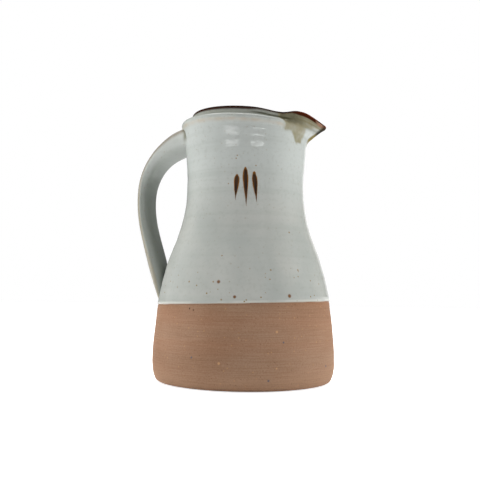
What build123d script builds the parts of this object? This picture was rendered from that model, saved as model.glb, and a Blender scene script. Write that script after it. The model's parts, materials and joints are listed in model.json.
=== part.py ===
from build123d import *
import os
from math import cos, radians, sin

# A hand-thrown stoneware jug. All sizes are millimetres.
# The foot stands on z = 0, the thrown axis is z, the spout points to +x and the handle to -x.

# Heights along the thrown axis
belly_height = 15.0          # widest place, above the foot
neck_height = 147.0          # narrowest place, above the foot
ledge_rise = 45.8            # narrowest place of the neck to the top of the rim ridge
collar_rise = 7.2            # top of the ridge to the lip, half way round the jug

# Outside radii of the clay
foot_radius = 61.5
belly_radius = 68.5
neck_radius = 44.2
ridge_radius = 49.9
collar_radius = 42.7         # in the groove, where the collar stands on the ridge
lip_radius = 41.0

# The foot's rounded edge passes this far inside the belly, at this height
foot_edge_inset = 2.0
foot_edge_height = 3.2
foot_edge_slope = 0.35       # rise over run where the rounded edge leaves the ground

# The wall from belly to neck: (share of the height, share of the narrowing still to come)
shoulder_shape = [
    (0.0, 1.0),
    (0.2, 0.93),
    (0.38, 0.793),
    (0.57, 0.533),
    (0.715, 0.243),
    (0.856, 0.058),
    (1.0, 0.0),
]

# The rim: a rounded ridge with a groove and a short collar above it
flare_curve = 1.7            # how late the neck flares toward the ridge
ridge_roll = 6.5             # height of the rounded roll
ridge_overhang = 1.9         # how far the roll stands out from the wall below it
ridge_crown = 2.6            # how far the roll comes in again to its top
roll_seat = 0.6              # how deep the roll's lower edge runs into the wall
rim_tilt = 3.2               # degrees, the whole rim is higher on the handle side

# Clay thickness
floor_thickness = 8.0
belly_wall = 6.0
neck_wall = 5.0
lip_thickness = 3.6
floor_corner = 14.0

# The pulled spout
spout_reach = 61.8           # axis to the tip of the spout, at the height of the ledge
spout_depth = 15.6           # throat of the spout, below the ledge
spout_spread = 50.0          # half of the angle that the spout takes up, in degrees
spout_seat = 0.8             # how deep the sides of the spout run into the wall
spout_lip = 3.6              # clay left at the tip
inner_sweep = 1.5            # how late the inside of the spout sweeps outward
inner_rises = [0.0, 0.35, 0.65, 1.0, 1.35, 1.7]  # shares of the rise where the inside is given

# The spout's underside: (share of the rise from throat to ledge, share of the way out to the tip)
spout_sweep = [
    (0.0, 0.0),
    (0.25, 0.09),
    (0.45, 0.27),
    (0.63, 0.57),
    (0.8, 0.79),
    (1.0, 1.0),
    (1.35, 1.36),
    (1.7, 1.72),
]

# The lip as seen from the side: (share of the spout's reach, height from the middle of the lip)
lip_line = [
    (-0.66, 2.4),
    (0.0, 0.0),
    (0.46, -1.7),
    (0.72, -1.2),
    (0.88, -4.0),
    (1.0, -7.0),
]

# The pulled handle
handle_root_drop = 9.4       # centre of the upper root, below the ledge
handle_tail_height = 62.0    # end of the tail, above the foot
handle_standoff = 34.0       # wall to the middle of the strap, where the handle is widest
root_width = 34.0
root_thickness = 20.0
strap_width = 27.0
strap_thickness = 12.2
tail_width = 30.0
tail_thickness = 7.0

# The handle from root to tail: (share of the drop, share of the standoff, share of root size,
# share of tail size)
handle_line = [
    (-0.018, -0.2, 0.8, 0.0),
    (0.008, 0.157, 0.75, 0.0),
    (0.075, 0.552, 0.45, 0.0),
    (0.159, 0.805, 0.3, 0.0),
    (0.264, 0.977, 0.12, 0.0),
    (0.376, 1.0, 0.0, 0.0),
    (0.51, 0.907, 0.0, 0.0),
    (0.636, 0.674, 0.0, 0.0),
    (0.79, 0.328, 0.0, 0.0),
    (0.893, 0.13, 0.0, 0.5),
    (1.0, -0.05, 0.0, 1.0),
]

# Slip, glaze and iron
slip_thickness = 0.4
glaze_thickness = 0.5
film_gap = 0.05              # left between a thin film and what it lies on
glaze_line_height = 59.2
glaze_line_tilt = 1.7        # degrees, higher on the spout side
rim_band_depth = 2.2
mark_thickness = 0.2
mark_height = 141.0          # middle of the brush mark, above the foot
mark_turn = 9.0              # degrees from the -y side toward the spout
mark_stroke_length = 27.0
mark_stroke_width = 4.6
mark_stroke_gap = 2.2
mark_fullest = 0.28          # where a stroke is widest, as a share of its length above its middle
mark_lean = 0.05             # how far a stroke leans where the brush starts
mark_strokes = [(-1, 0.68), (0, 1.0), (1, 0.78)]  # (place from the middle, share of the length)

# Derived heights
ledge_height = neck_height + ledge_rise
lip_height = ledge_height + collar_rise
throat_height = ledge_height - spout_depth
flare_height = ledge_height - ridge_roll / 2
working_top = 3 * collar_rise
working_size = 4 * belly_radius


def wall_radius(height):
    """Outside radius of the clay between the belly and the ridge."""
    if height >= neck_height:
        share = (height - neck_height) / (flare_height - neck_height)
        return neck_radius + (ridge_radius - ridge_overhang - neck_radius) * share ** flare_curve
    wanted = (height - belly_height) / (neck_height - belly_height)
    for (low, wide), (high, narrow) in zip(shoulder_shape, shoulder_shape[1:]):
        if wanted <= high:
            share = wide + (narrow - wide) * (wanted - low) / (high - low)
            return neck_radius + (belly_radius - neck_radius) * share
    return neck_radius


def shoulder(widest, narrowest):
    """The S-shaped stretch of the wall from the belly up to the neck."""
    points = []
    for share, narrowing in shoulder_shape:
        radius = narrowest + (widest - narrowest) * narrowing
        points.append((radius, belly_height + (neck_height - belly_height) * share))
    return Spline(*points, tangents=[(0, 1), (0, 1)])


def turned(*edges):
    """A solid of revolution from an outline of (radius, height)."""
    return revolve(Plane.XZ * make_face(edges), Axis.Z)


def spout(outline):
    """A beak of plan sections: each swings from the wall out to its tip and back to the wall.

    The outline lists (share of the rise from throat to ledge, radius at the wall, radius at the tip)."""
    spread = radians(spout_spread)
    sections = []
    for rise, seat, tip in outline:
        side_x = seat * cos(spread)
        side_y = seat * sin(spread)
        near = Spline((side_x, -side_y), (tip, 0), tangents=[(sin(spread), cos(spread)), (0, 1)])
        far = Spline((tip, 0), (side_x, side_y), tangents=[(0, 1), (-sin(spread), cos(spread))])
        back = Line((side_x, side_y), (side_x, -side_y))
        height = throat_height + spout_depth * rise
        sections.append(Pos(0, 0, height) * make_face([near, far, back]))
    return loft(sections)


def rim(coat):
    """The ridge and collar, turned about their own axis and then tilted."""
    bottom = (ridge_radius - ridge_overhang - roll_seat + coat, -ridge_roll)
    crown = (ridge_radius - ridge_crown + coat, coat)
    roll = ThreePointArc(bottom, (ridge_radius + coat, -ridge_roll / 2), crown)
    lean = (collar_radius - lip_radius) / collar_rise
    top = collar_rise + working_top
    outline = Polyline(
        crown,
        (collar_radius + coat, coat),
        (collar_radius - lean * top + coat, top),
        (0, top),
        (0, -ridge_roll),
        bottom,
    )
    return Pos(0, 0, ledge_height) * Rot(0, rim_tilt, 0) * turned(roll, outline)


def pot(coat):
    """Everything within the turned wall below the rim, with a coat added."""
    foot = Spline(
        (foot_radius + coat, 0),
        (belly_radius - foot_edge_inset + coat, foot_edge_height),
        (belly_radius + coat, belly_height),
        tangents=[(1, foot_edge_slope), (0, 1)],
    )
    wall = shoulder(belly_radius + coat, neck_radius + coat)
    flare_steps = [neck_height + (flare_height - neck_height) * step / 4 for step in range(5)]
    flare = Spline(*[(wall_radius(height) + coat, height) for height in flare_steps])
    close = Polyline(flare @ 1, (0, flare_height), (0, 0), (foot_radius + coat, 0))
    return turned(foot, wall, flare, close)


def outside(coat):
    """Everything within the outside of the clay, with a coat added all over."""
    throat_radius = wall_radius(throat_height) - spout_seat
    beak = []
    for rise, sweep in spout_sweep:
        height = throat_height + spout_depth * rise
        seat = wall_radius(height) if height < flare_height else collar_radius
        tip = throat_radius + (spout_reach - throat_radius) * sweep
        beak.append((rise, seat - spout_seat + coat, tip + coat))
    return pot(coat) + rim(coat) + spout(beak)


def inside(coat):
    """The hollow of the jug, made smaller by a coat."""
    floor = floor_thickness + coat
    widest = belly_radius - belly_wall - coat
    narrowest = neck_radius - neck_wall - coat
    mouth = lip_radius - lip_thickness - coat
    wall = shoulder(widest, narrowest)
    corner = Spline((widest - floor_corner, floor), (widest, belly_height), tangents=[(1, 0), (0, 1)])
    top = lip_height + working_top
    throat = Spline(
        (narrowest, neck_height),
        (wall_radius(throat_height) - neck_wall - coat, throat_height),
        (mouth, lip_height),
        (mouth, top),
        tangents=[(0, 1), (0, 1)],
    )
    close = Polyline((mouth, top), (0, top), (0, floor), (widest - floor_corner, floor))
    hollow_pot = turned(corner, wall, throat, close)

    seat = mouth - spout_seat
    reach = spout_reach - spout_lip - coat - seat
    beak = [(rise, seat, seat + reach * rise ** inner_sweep) for rise in inner_rises]
    return hollow_pot + spout(beak)


def above_lip(drop):
    """Everything above the lip's curve, lowered by a drop."""
    points = [(share * spout_reach, lip_height + lift - drop) for share, lift in lip_line]
    lip = Spline(*points)
    end = lip @ 1 + (lip % 1) * working_size
    top = lip_height + working_size
    start = (-working_size, points[0][1])
    edges = [
        lip,
        Polyline(points[-1], end, (end.X, top), (-working_size, top), start, points[0]),
    ]
    return extrude(Plane.XZ * make_face(edges), working_size, both=True)


def handle(coat):
    """The strap: oval sections square to a curved centre line."""
    root_height = ledge_height - handle_root_drop
    drop = root_height - handle_tail_height
    points = []
    for down, out, root, tail in handle_line:
        height = root_height - drop * down
        points.append((-wall_radius(height) - handle_standoff * out, 0, height))
    path = Spline(*points)
    sections = []
    for point, (down, out, root, tail) in zip(points, handle_line):
        width = strap_width + (root_width - strap_width) * root + (tail_width - strap_width) * tail
        thickness = strap_thickness + (root_thickness - strap_thickness) * root
        thickness += (tail_thickness - strap_thickness) * tail
        square = Plane(point, x_dir=(0, 1, 0), z_dir=path % path.param_at_point(point))
        sections.append(square * Ellipse(width / 2 + coat, thickness / 2 + coat))
    return loft(sections)


def stroke(length):
    """One brush stroke: a fine start at the bottom and a full round end at the top."""
    half = mark_stroke_width / 2
    start = (0, -length / 2)
    end = (0, length / 2)
    fullest = mark_fullest * length
    right = Spline(start, (half, fullest), end, tangents=[(mark_lean, 1), (-1, 0)])
    left = Spline(end, (-half, fullest), start, tangents=[(-1, 0), (mark_lean, -1)])
    return make_face([right, left])


clay = outside(0)
glazed = outside(glaze_thickness)
slipped = outside(slip_thickness)
hollow = inside(0)
glazed_hollow = inside(glaze_thickness)
handle_clay = handle(0)
handle_coated = handle(glaze_thickness)

glaze_floor = Pos(0, 0, glaze_line_height - working_size / 2) * Rot(0, -glaze_line_tilt, 0) * Box(
    working_size, working_size, working_size
)
band_zone = above_lip(rim_band_depth)

thrown_body = clay - hollow - above_lip(glaze_thickness)

# Slip squeezed between the handle's ends and the wall
slip_pads = (handle_clay & slipped) - clay
middle = (ledge_height + handle_tail_height) / 2
upper_slip_joint = [pad for pad in slip_pads.solids() if pad.center().Z > middle]
lower_slip_joint = [pad for pad in slip_pads.solids() if pad.center().Z <= middle]

pulled_handle = handle_clay - slipped
outer_glaze = glazed - clay - glaze_floor - band_zone - handle_clay
handle_glaze = handle_coated - glazed - glaze_floor - handle(film_gap)
liner_glaze = hollow - glazed_hollow - band_zone
rim_band = ((glazed - glazed_hollow) & band_zone) - above_lip(0) - thrown_body

# Three upright brush strokes, the middle one longest, on the glaze of the neck
spacing = mark_stroke_width + mark_stroke_gap
mark_plane = Plane((0, 0, mark_height), x_dir=(1, 0, 0), z_dir=(0, -1, 0))
strokes = []
for place, share in mark_strokes:
    shape = Pos(place * spacing, 0) * stroke(share * mark_stroke_length)
    strokes.append(extrude(mark_plane * shape, working_size))
mark_base = glaze_thickness + film_gap
mark_skin = pot(mark_base + mark_thickness) - pot(mark_base)
brush_mark = [Rot(0, 0, mark_turn) * brush & mark_skin for brush in strokes]

os.makedirs("parts", exist_ok=True)
export_step(thrown_body, "parts/thrown_body.step")
export_step(pulled_handle, "parts/pulled_handle.step")
export_step(Compound(upper_slip_joint), "parts/upper_slip_joint.step")
export_step(Compound(lower_slip_joint), "parts/lower_slip_joint.step")
export_step(outer_glaze, "parts/outer_glaze.step")
export_step(handle_glaze, "parts/handle_glaze.step")
export_step(liner_glaze, "parts/liner_glaze.step")
export_step(rim_band, "parts/rim_band.step")
export_step(Compound(brush_mark), "parts/brush_mark.step")
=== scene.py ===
# %% [markdown]
# # A hand-thrown stoneware jug
# A studio jug is one wall of clay, thrown on a wheel, with a beak pulled out of the soft rim and a strap
# handle stuck on with slip. It is dipped in glaze, so its coats follow the clay closely. This lesson makes
# the pieces first, nearly in a potter's order, and then gives them their finishes. Sizes are in metres, in
# the frame of the construction model, and MM is one millimetre.

# %% Load the construction model
import json
import math
import bpy
from mathutils import Matrix, Vector, noise

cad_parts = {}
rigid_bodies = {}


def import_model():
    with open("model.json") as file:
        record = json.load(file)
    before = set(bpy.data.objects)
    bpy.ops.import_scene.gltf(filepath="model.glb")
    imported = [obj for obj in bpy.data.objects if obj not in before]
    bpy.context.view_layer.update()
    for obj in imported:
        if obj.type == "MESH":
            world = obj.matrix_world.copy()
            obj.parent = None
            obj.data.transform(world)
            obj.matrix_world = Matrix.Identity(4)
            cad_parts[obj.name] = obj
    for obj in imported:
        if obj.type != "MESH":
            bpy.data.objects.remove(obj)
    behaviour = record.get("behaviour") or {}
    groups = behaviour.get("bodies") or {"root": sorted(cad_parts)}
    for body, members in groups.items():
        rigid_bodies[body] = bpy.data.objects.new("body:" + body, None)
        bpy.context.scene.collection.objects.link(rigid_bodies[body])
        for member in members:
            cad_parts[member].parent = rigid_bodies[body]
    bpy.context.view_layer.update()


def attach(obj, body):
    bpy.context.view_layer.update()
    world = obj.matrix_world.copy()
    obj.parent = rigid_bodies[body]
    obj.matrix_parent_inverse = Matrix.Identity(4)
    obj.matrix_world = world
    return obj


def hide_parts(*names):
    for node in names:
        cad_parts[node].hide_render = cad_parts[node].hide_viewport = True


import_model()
MM = 0.001

# %% [markdown]
# A thrown pot is a section turned about the wheel's axis. The section runs from the middle of the foot, up
# the outside, over the lip and down the inside to the middle of the floor. The beak could be a piece of its
# own, but a potter pulls it out of the same clay and wipes the ridge away there. So each point of the rim
# has three places, in this order: on the plain rim, on the flank of the beak and at its tip. Points are
# (radius, height) in millimetres.

# %% List the points of the section
FOOT_AND_WALL = [
    (0, 0), (40, 0), (61.5, 0), (65.1, 1.1), (66.5, 3.2), (67.9, 8), (68.5, 15), (66.8, 41.4), (63.5, 65.2),
    (57.15, 90.2), (50.1, 109.4), (45.6, 128), (44.2, 147), (44.7, 160), (45.75, 172),
]
FLARE = [((46.9, 180), (46.9, 180), (46.7, 180.2)), ((47.8, 185.8), (47.8, 185.2), (48.4, 183.4))]
RIDGE = [
    ((48.6, 188.2), (47.9, 187), (50.2, 185)),
    ((49.3, 190.2), (47.8, 188.4), (52.6, 186.5)),
    ((49.1, 191.9), (47.5, 189.8), (54.4, 187.6)),
    ((47.3, 192.8), (47.1, 191.2), (55.8, 188.4)),
    ((45, 192.9), (46.6, 192.5), (57.1, 189.3)),
]
COLLAR = [
    ((42.7, 192.8), (46, 193.8), (58.3, 189.8)),
    ((42.4, 194.2), (45.3, 195), (59.2, 190.2)),
    ((42.1, 195.6), (44.5, 196.2), (60, 190.5)),
]
LIP = [
    ((41.7, 197.4), (43.4, 197.6), (60.9, 190.3)),
    ((40.7, 199.8), (42, 199.8), (61.6, 191.1)),
    ((39.4, 200.1), (40.6, 200.2), (61.2, 191.7)),
    ((38.2, 199.6), (39.2, 199.7), (60.1, 191.5)),
    ((37.5, 198), (38.4, 198), (58.6, 190.8)),
]
THROAT = [
    ((37.6, 194), (38, 194), (55, 189)),
    ((38.7, 188), (38.9, 188), (48.5, 186.3)),
    ((40.6, 180), (40.6, 180), (43.3, 180.5)),
]
INSIDE_AND_FLOOR = [
    (41.4, 172), (40.6, 160), (39.2, 147), (40.55, 128), (44.86, 109.4), (51.6, 90.2), (57.7, 65.2),
    (60.9, 41.4), (62.5, 22), (61.5, 13), (57, 9), (48.5, 8), (25, 8), (0, 8),
]
rim_points = FLARE + RIDGE + COLLAR + LIP + THROAT
sections = [FOOT_AND_WALL + list(places) + INSIDE_AND_FLOOR for places in zip(*rim_points)]
plain_section, flank_section, tip_section = sections
ridge_start = len(FOOT_AND_WALL) + len(FLARE)
ridge_foot = ridge_start - 1
groove = ridge_start + len(RIDGE)
lip_start = groove + len(COLLAR)
lip_end = lip_start + len(LIP) - 1
print("section of", len(plain_section), "points, with", len(rim_points), "of them on the rim")

# %% [markdown]
# A Bezier curve rounds the way between given points, which suits soft clay. Only the flat of the foot and
# the groove get sharp corners. Each curve becomes a chain of edges that can be spun. Blender's tools work
# on what is selected, so every step first picks its piece.

# %% Draw the three sections
EDGES_PER_POINT = 4
FOOT_CORNERS = [1, 2]


def pick(*pieces):
    """Select these pieces only, with the first one active."""
    if bpy.context.object and bpy.context.object.mode != "OBJECT":
        bpy.ops.object.mode_set(mode="OBJECT")
    bpy.ops.object.select_all(action="DESELECT")
    for piece in pieces:
        piece.select_set(True)
    bpy.context.view_layer.objects.active = pieces[0]


def draw_section(name, points, corners):
    """A smooth curve through the points, with sharp corners at some, turned into a chain of edges."""
    bpy.ops.curve.primitive_bezier_curve_add(location=(0, 0, 0))
    drawing = bpy.context.object
    drawing.name = name
    drawing.data.resolution_u = EDGES_PER_POINT
    spline = drawing.data.splines[0]
    spline.bezier_points.add(len(points) - 2)
    for number, (radius, height) in enumerate(points):
        point = spline.bezier_points[number]
        point.co = (radius * MM, 0, height * MM)
        handle_type = "VECTOR" if number in corners else "AUTO"
        point.handle_left_type = handle_type
        point.handle_right_type = handle_type
    pick(drawing)
    bpy.ops.object.convert(target="MESH")
    return bpy.context.object


clay = draw_section("clay_body", plain_section, FOOT_CORNERS + [groove])
flank = draw_section("flank_section", flank_section, FOOT_CORNERS)
tip = draw_section("tip_section", tip_section, FOOT_CORNERS)
print("each chain has", len(clay.data.vertices), "points")

# %% [markdown]
# Before the turn, each point of the plain section notes how far the other two would move it and where it
# lies along the section. The notes go round with the clay, so the spout and the finishes can use them
# later. Groups of points mark the outside, the lip and the inside, which get different coats.

# %% Note the pull
NOTES = ("flank_out", "flank_up", "tip_out", "tip_up", "along")
for note in NOTES:
    clay.data.attributes.new(note, "FLOAT", "POINT")
notes = clay.data.attributes
for number, vertex in enumerate(clay.data.vertices):
    to_flank = flank.data.vertices[number].co - vertex.co
    to_tip = tip.data.vertices[number].co - vertex.co
    notes["flank_out"].data[number].value = to_flank.x
    notes["flank_up"].data[number].value = to_flank.z
    notes["tip_out"].data[number].value = to_tip.x
    notes["tip_up"].data[number].value = to_tip.z
    notes["along"].data[number].value = number / EDGES_PER_POINT
zones = {
    "outside": (2, lip_start), "lip": (lip_start, lip_end), "inside": (lip_end, len(plain_section) - 1),
}
for zone, (first, last) in zones.items():
    group = clay.vertex_groups.new(name=zone)
    group.add(range(first * EDGES_PER_POINT, last * EDGES_PER_POINT + 1), 1.0, "REPLACE")
bpy.data.objects.remove(flank)
bpy.data.objects.remove(tip)
print("groups of points", [group.name for group in clay.vertex_groups])

# %% [markdown]
# The wheel is Blender's spin tool: it turns the chain of edges about the upright axis and fills in faces
# between the steps. The last step falls on the first, and the section's ends lie on the axis, so doubled
# points are merged.

# %% Throw the pot
TURN_STEPS = 240
MERGE_DISTANCE = 0.01 * MM


def start_editing(piece):
    """Open a piece in Edit Mode, with all of it selected."""
    pick(piece)
    bpy.ops.object.mode_set(mode="EDIT")
    bpy.ops.mesh.select_all(action="SELECT")


def stop_editing():
    """Turn all faces of the piece outward and leave Edit Mode."""
    bpy.ops.mesh.select_all(action="SELECT")
    bpy.ops.mesh.normals_make_consistent(inside=False)
    bpy.ops.object.mode_set(mode="OBJECT")


start_editing(clay)
bpy.ops.mesh.spin(steps=TURN_STEPS, angle=math.tau, center=(0, 0, 0), axis=(0, 0, 1))
bpy.ops.mesh.select_all(action="SELECT")
bpy.ops.mesh.remove_doubles(threshold=MERGE_DISTANCE)
stop_editing()
print("thrown wall of", len(clay.data.polygons), "faces")

# %% [markdown]
# Fingers leave a shallow spiral in the wall, because the wheel turns while they rise. It could be a bump in
# each finish, but the coats are copied from the wall, so relief on the wall marks them all at once. A slow
# swell goes with the fine spiral, and both fade out at the foot and under the rim. A pair given to ramp
# is where its rise starts and ends.

# %% Throwing rings
RING_PITCH, RING_DEPTH = 9.4 * MM, 0.07 * MM
SWELL_PITCH, SWELL_DEPTH = 31 * MM, 0.07 * MM
RINGS_IN, RINGS_OUT = (4 * MM, 14 * MM), (180 * MM, 188 * MM)


def ramp(value, low, high):
    """0 below low, 1 above high and a smooth rise between them."""
    share = min(1, max(0, (value - low) / (high - low)))
    return share * share * (3 - 2 * share)


def throwing_rings(height, angle):
    """How far the finger marks move the wall out at this height and angle."""
    turn = angle / math.tau
    fine = RING_DEPTH * math.sin(math.tau * (height / RING_PITCH + turn))
    slow = SWELL_DEPTH * math.sin(math.tau * (height / SWELL_PITCH + turn))
    return (fine + slow) * ramp(height, *RINGS_IN) * (1 - ramp(height, *RINGS_OUT))


print("rings move the wall by up to", RING_DEPTH + SWELL_DEPTH)

# %% [markdown]
# The beak is strongest straight in front and dies away on both sides. Its lip sags, lifts a little where
# two fingers hold the clay, and then dips to the tip. Each of these is a smooth step, with ends fitted to
# the outline in the photograph.

# %% The curves of the beak
SPOUT_SPREAD = math.radians(50)
SPOUT_NOSE = math.radians(4)
LIP_STEPS = [
    # how far the lip rises, and from where to where toward the tip, all in millimetres
    (-0.8, 10, 28),
    (2.8, 30, 42),
    (-7.75, 44, 66),
]


def beak_share(angle):
    """How far the clay at this angle follows the beak: 1 in the middle, 0 where the beak ends."""
    rounded = math.hypot(angle, SPOUT_NOSE) - SPOUT_NOSE
    return max(0, 1 - rounded / SPOUT_SPREAD)


def lip_rise(x):
    """How far the beak's lip stands above the plain rim, by its place toward the tip."""
    return sum(rise * MM * ramp(x, start * MM, end * MM) for rise, start, end in LIP_STEPS)


print("the lip rises in all by", sum(rise for rise, start, end in LIP_STEPS), "mm")

# %% [markdown]
# The rim isn't level: it rises toward the handle. Each point of the rim moves to the flank section and on
# to the tip section, by its share of the beak. The lip takes its height from its own curve, because the
# underside of a beak swings lower than its lip, and the tip is pinched thin.

# %% Tilt the rim and pull the spout
RIM_TILT = math.radians(3.2)
TILT_HEIGHTS = (176 * MM, 190 * MM)
SPOUT_SHARPNESS, SPOUT_DIP = 2.2, 1.7
RIDGE_WIPED = (0.02, 0.3)
LIP_TOP, TIP_PINCH, PINCH_SHARPNESS = 200.1 * MM, 0.35, 4
STILL_RADIUS, BEAK_FOOT = 5 * MM, 180 * MM
CREASE_ANGLE = math.radians(50)


def note_values(piece, note):
    """The values of one note, one for each point of the piece."""
    return [item.value for item in piece.data.attributes[note].data]


flank_out, flank_up, tip_out, tip_up, along = [note_values(clay, note) for note in NOTES]
for number, vertex in enumerate(clay.data.vertices):
    x, y, z = vertex.co
    radius = math.hypot(x, y)
    if radius < STILL_RADIUS:
        continue
    angle = math.atan2(y, x)
    share = beak_share(angle)
    wiped = ramp(share, *RIDGE_WIPED)
    rim_radius = radius + wiped * flank_out[number]
    rim_height = z + wiped * flank_up[number] - x * math.tan(RIM_TILT) * ramp(z, *TILT_HEIGHTS)
    new_radius = rim_radius + share ** SPOUT_SHARPNESS * (radius + tip_out[number] - rim_radius)
    lip_height = rim_height + lip_rise(new_radius * math.cos(angle))
    lip_height += share ** PINCH_SHARPNESS * TIP_PINCH * max(0, LIP_TOP - z)
    under = rim_height + share ** SPOUT_DIP * (z + tip_up[number] - rim_height)
    on_lip = ramp(along[number], ridge_foot + 1, lip_start) - ramp(along[number], lip_end, lip_end + 3)
    new_radius += throwing_rings(z, angle)
    vertex.co.x = new_radius * math.cos(angle)
    vertex.co.y = new_radius * math.sin(angle)
    vertex.co.z = under + on_lip * (lip_height - under)
pick(clay)
bpy.ops.object.shade_smooth_by_angle(angle=CREASE_ANGLE)
reach = max(vertex.co.x for vertex in clay.data.vertices if vertex.co.z > BEAK_FOOT)
print("beak reaches", round(reach, 4))

# %% [markdown]
# Glaze covers the pot where it was dipped. The dip line is where the surface of the glaze in the bucket
# stood, so it is a flat cut, a little out of level. A coat could be just a colour on the clay, but a skin
# of its own has an edge that catches the light. So each coat is a copy of one zone of the clay, cut at the
# dip line and thickened.

# %% Dip the body
GLAZE = 0.5 * MM
DIP_LINE, DIP_TILT = 58.4 * MM, math.radians(1.7)
DIP_SLOPE = (-math.sin(DIP_TILT), 0, math.cos(DIP_TILT))


def apply_modifier(piece, kind, **settings):
    """Add one modifier with these settings and apply it at once."""
    pick(piece)
    bpy.ops.object.modifier_add(type=kind)
    modifier = piece.modifiers[-1]
    for name, value in settings.items():
        setattr(modifier, name, value)
    bpy.ops.object.modifier_apply(modifier=modifier.name)


def coat(source, name, zone, dipped):
    """A skin over one zone of a piece, cut off at the dip line if it was dipped."""
    pick(source)
    bpy.ops.object.duplicate()
    skin = bpy.context.object
    skin.name = name
    skin.vertex_groups.active_index = skin.vertex_groups[zone].index
    bpy.ops.object.mode_set(mode="EDIT")
    bpy.ops.mesh.select_all(action="DESELECT")
    bpy.ops.object.vertex_group_select()
    bpy.ops.mesh.select_all(action="INVERT")
    bpy.ops.mesh.delete(type="VERT")
    if dipped:
        bpy.ops.mesh.select_all(action="SELECT")
        bpy.ops.mesh.bisect(plane_co=(0, 0, DIP_LINE), plane_no=DIP_SLOPE, clear_inner=True)
    bpy.ops.object.mode_set(mode="OBJECT")
    apply_modifier(skin, "SOLIDIFY", thickness=GLAZE, offset=1)
    return skin


outer_coat = coat(clay, "outer_coat", "outside", True)
lip_coat = coat(clay, "lip_coat", "lip", False)
liner_coat = coat(clay, "liner_coat", "inside", False)
print("coats of", [len(skin.data.polygons) for skin in (outer_coat, lip_coat, liner_coat)], "faces")

# %% [markdown]
# Wet glaze creeps a little before it dries, so the edge of the coat wavers. Noise moves the points near the
# dip line up and down, by less than the coat's own thickness.

# %% Let the edge waver
EDGE_WAVE, EDGE_WAVE_LENGTH = 0.35 * MM, 9 * MM
EDGE_BAND = (0.1 * MM, 3 * MM)
moved = 0
for vertex in outer_coat.data.vertices:
    dip_height = DIP_LINE + vertex.co.x * math.tan(DIP_TILT)
    near_edge = 1 - ramp(vertex.co.z - dip_height, *EDGE_BAND)
    if near_edge > 0:
        vertex.co.z += near_edge * EDGE_WAVE * noise.noise(vertex.co / EDGE_WAVE_LENGTH)
        moved += 1
print("the edge wavers at", moved, "points")

# %% [markdown]
# A pulled handle is a strap of clay stroked out with a wet hand. It is thick at the root, thins as it
# bends, and is smeared onto the wall at the tail. A curve with a bevel would have one section all along, so
# each station gets a ring of its own: a squared oval across the strap's middle line, widest near its inner
# side at the root.

# %% Set out the strap
STATIONS = [
    # radius and height of the middle, width, thickness, all in millimetres
    (42.0, 185.3, 45.4, 16.6),
    (43.4, 184.9, 42.2, 16.6),
    (45.0, 184.4, 39.4, 16.7),
    (47.4, 183.7, 36.8, 16.8),
    (50.6, 182.5, 34.8, 16.6),
    (54.4, 180.9, 32.8, 16.2),
    (64.7, 174.1, 30.2, 13.2),
    (72.8, 164.2, 29.1, 11.2),
    (78.2, 151.3, 27.8, 10.3),
    (79.5, 137.8, 27.0, 9.6),
    (78.2, 121.5, 27.0, 9.9),
    (74.2, 106.2, 27.0, 10.2),
    (68.7, 87.5, 27.0, 11.2),
    (65.4, 75.0, 28.5, 9.6),
    (62.6, 64.0, 30.0, 6.4),
    (61.6, 58.0, 29.0, 3.6),
]
RING_POINTS = 40
SQUARENESS = 0.72
ROOT_WIDEST, TAIL_WIDEST = -0.6, -0.1
middles = [Vector((-radius * MM, 0, height * MM)) for radius, height, width, thickness in STATIONS]


def squared(value):
    """A coordinate of the unit circle, moved toward the corner of a square."""
    return math.copysign(abs(value) ** SQUARENESS, value)


def strap_ring(number):
    """The ring of one station, with a note of how far each point faces away from the jug."""
    width, thickness = STATIONS[number][2:]
    before = middles[max(0, number - 1)]
    after = middles[min(len(middles) - 1, number + 1)]
    heading = (after - before).normalized()
    outward = Vector((heading.z, 0, -heading.x))
    bpy.ops.mesh.primitive_circle_add(vertices=RING_POINTS, radius=1, location=(0, 0, 0))
    ring = bpy.context.object
    facing = ring.data.attributes.new("facing", "FLOAT", "POINT")
    widest = ROOT_WIDEST + (TAIL_WIDEST - ROOT_WIDEST) * number / (len(STATIONS) - 1)
    for point, vertex in enumerate(ring.data.vertices):
        facing.data[point].value = vertex.co.y
        across = squared(vertex.co.x) * width / 2 * MM
        side = 1 - widest if vertex.co.y > 0 else 1 + widest
        depth = (widest + squared(vertex.co.y) * side) * thickness / 2 * MM
        vertex.co = middles[number] + Vector((0, across, 0)) + outward * depth
    return ring


rings = [strap_ring(number) for number in range(len(STATIONS))]
print("strap of", len(rings), "rings")

# %% [markdown]
# Bridging joins each ring to the next with faces, and the two open ends are closed. Subdivision then rounds
# the strap between its stations, as a wet hand does. The handle was dipped with the body, so it gets the
# same coat.

# %% Pull the handle
pick(*rings)
bpy.ops.object.join()
strap = bpy.context.object
strap.name = "clay_handle"
start_editing(strap)
bpy.ops.mesh.bridge_edge_loops()
bpy.ops.mesh.select_all(action="DESELECT")
bpy.ops.mesh.select_mode(type="EDGE")
bpy.ops.mesh.select_non_manifold(extend=False)
bpy.ops.mesh.edge_face_add()
bpy.ops.mesh.select_mode(type="VERT")
stop_editing()
apply_modifier(strap, "SUBSURF", levels=2, render_levels=2)
pick(strap)
bpy.ops.object.shade_smooth()
whole = strap.vertex_groups.new(name="all")
whole.add(range(len(strap.data.vertices)), 1.0, "REPLACE")
strap_coat = coat(strap, "handle_coat", "all", True)
print("handle of", len(strap.data.polygons), "faces and its coat of", len(strap_coat.data.polygons))

# %% [markdown]
# The decoration is three plain strokes of iron, brushed upward on the front of the neck while the glaze was
# still powder. A loaded brush starts fine and is fullest near the end. The strokes could be painted in the
# finish, but they are pieces of the construction model, so each is a flat grid, shaped in front of the
# neck.

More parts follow.
